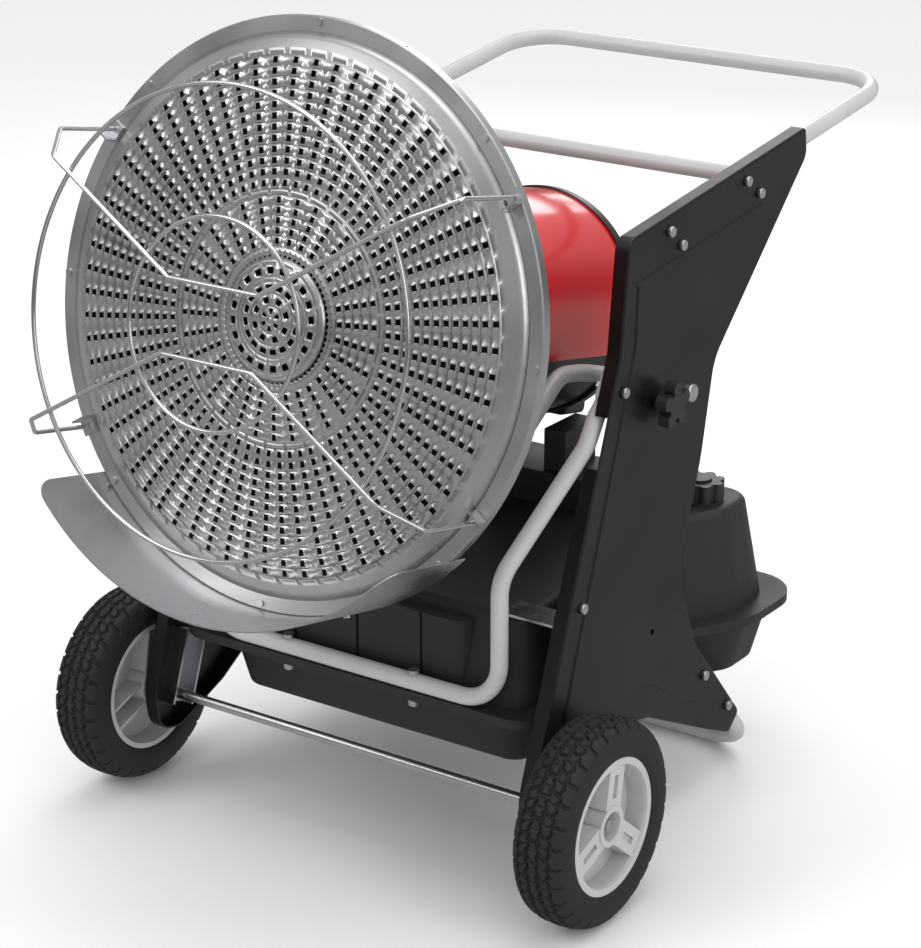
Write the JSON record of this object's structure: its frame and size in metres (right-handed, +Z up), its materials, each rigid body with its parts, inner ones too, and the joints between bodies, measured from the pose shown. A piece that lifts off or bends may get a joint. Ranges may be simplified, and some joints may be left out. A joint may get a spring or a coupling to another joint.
{
  "type": "infrared diesel heater",
  "caption": "Wheeled diesel-fired radiant heater: guarded dish on a tilting drum burner, held between pressed side panels over a moulded fuel tank, with a push handle.",
  "frame": {"origin": "centre of the whole object in plan, on the floor", "axes": "+Z up, -Y where the dish faces, +Y towards the push handle, +X on the side of the tilt knob"},
  "size_m": [0.724, 1.0532, 0.9762],
  "materials": {
    "panel_black": "satin black powder coat",
    "frame_grey": "light grey paint",
    "zinc": "bright zinc plate",
    "axle_steel": "plain turned steel",
    "dish_steel": "brushed heat-resisting sheet",
    "pan_steel": "galvanised outside, heat-darkened inside",
    "guard_wire": "bright steel wire",
    "drum_red": "gloss red enamel",
    "black_metal": "satin black enamel",
    "inner_steel": "heat-tinted sheet",
    "tank_plastic": "moulded charcoal plastic",
    "dark_plastic": "dark moulded plastic",
    "pump_alloy": "die-cast",
    "lamp_amber": "clear tinted lens",
    "hub_grey": "light grey moulding",
    "tyre_black": "black treaded rubber"
  },
  "bodies": {
    "frame": {"axle": "axle_steel", "axle_bracket_left": "zinc", "axle_bracket_right": "zinc", "axle_bushes_and_caps": "zinc", "clamp_nut": "zinc", "drain_plug": "dark_plastic", "drum_saddle": "tank_plastic", "filler_neck": "dark_plastic", "frame_bolts": "zinc", "front_stay": "frame_grey", "fuel_pickup": "dark_plastic", "pivot_bolts": "zinc", "push_handle": "frame_grey", "rear_foot": "frame_grey", "rear_rail": "frame_grey", "side_panel_left": "panel_black", "side_panel_right": "panel_black", "spacer_sleeves": "zinc", "tank_brackets": "zinc", "tank_lower": "tank_plastic", "tank_support_rail": "frame_grey", "tank_upper": "tank_plastic"},
    "head": {"radiant_disc": "dish_steel", "centre_cap": "dish_steel", "rim_ring": "dish_steel", "reflector_pan": "pan_steel", "head_screws": "zinc", "heat_shield": "zinc", "guard_rings": "guard_wire", "guard_rods": "guard_wire", "guard_clips": "zinc", "drum_cover": "drum_red", "drum_base": "black_metal", "rear_trim_ring": "black_metal", "rear_grille": "black_metal", "combustion_chamber": "inner_steel", "air_baffle": "inner_steel", "burner_nozzle": "inner_steel", "fan_housing": "inner_steel", "motor": "black_metal", "fuel_pump": "pump_alloy", "ignition_transformer": "dark_plastic", "flame_sensor": "dark_plastic", "head_cradle": "frame_grey", "quadrant_left": "zinc", "quadrant_right": "zinc", "control_box": "dark_plastic", "indicator_lamp": "lamp_amber", "power_inlet": "dark_plastic"},
    "wheel_right": {"tyre_right": "tyre_black", "hub_right": "hub_grey"},
    "wheel_left": {"tyre_left": "tyre_black", "hub_left": "hub_grey"},
    "fan": {"fan_wheel": "inner_steel", "motor_shaft": "axle_steel"},
    "tilt_knob": {"tilt_knob": "dark_plastic"},
    "filler_cap": {"filler_cap": "dark_plastic"},
    "power_switch": {"power_switch": "dark_plastic"},
    "thermostat_dial": {"thermostat_dial": "dark_plastic"},
    "reset_button": {"reset_button": "dark_plastic"}
  },
  "joints": [
    {"name": "head_tilt", "type": "hinge", "parent": "frame", "child": "head", "pos_m": [0, 0.0198, 0.5314], "axis": [1, 0, 0], "range_deg": [-5, 11.4]},
    {"name": "wheel_right_spin", "type": "hinge", "parent": "frame", "child": "wheel_right", "pos_m": [0.329, -0.2512, 0.12], "axis": [1, 0, 0], "continuous": true},
    {"name": "wheel_left_spin", "type": "hinge", "parent": "frame", "child": "wheel_left", "pos_m": [-0.329, -0.2512, 0.12], "axis": [1, 0, 0], "continuous": true},
    {"name": "tilt_knob_turn", "type": "hinge", "parent": "frame", "child": "tilt_knob", "pos_m": [0.28, -0.0449, 0.5381], "axis": [1, 0, 0], "range_deg": [0, 360]},
    {"name": "filler_cap_turn", "type": "hinge", "parent": "frame", "child": "filler_cap", "pos_m": [0.212, 0.1738, 0.35], "axis": [0, 0, 1], "range_deg": [0, 90]},
    {"name": "fan_spin", "type": "hinge", "parent": "head", "child": "fan", "pos_m": [0, -0.01371, 0.5949], "axis": [0, 0.9803, -0.1977], "continuous": true},
    {"name": "power_switch_rock", "type": "hinge", "parent": "head", "child": "power_switch", "pos_m": [-0.04, 0.15724, 0.46882], "axis": [1, 0, 0], "range_deg": [-10, 10]},
    {"name": "thermostat_turn", "type": "hinge", "parent": "head", "child": "thermostat_dial", "pos_m": [0.022, 0.16803, 0.46664], "axis": [0, -0.9803, 0.1977], "range_deg": [0, 270]},
    {"name": "reset_press", "type": "slide", "parent": "head", "child": "reset_button", "axis": [0, -0.9803, 0.1977], "range_m": [0, 0.003], "stiffness_N_per_m": 400}
  ]
}
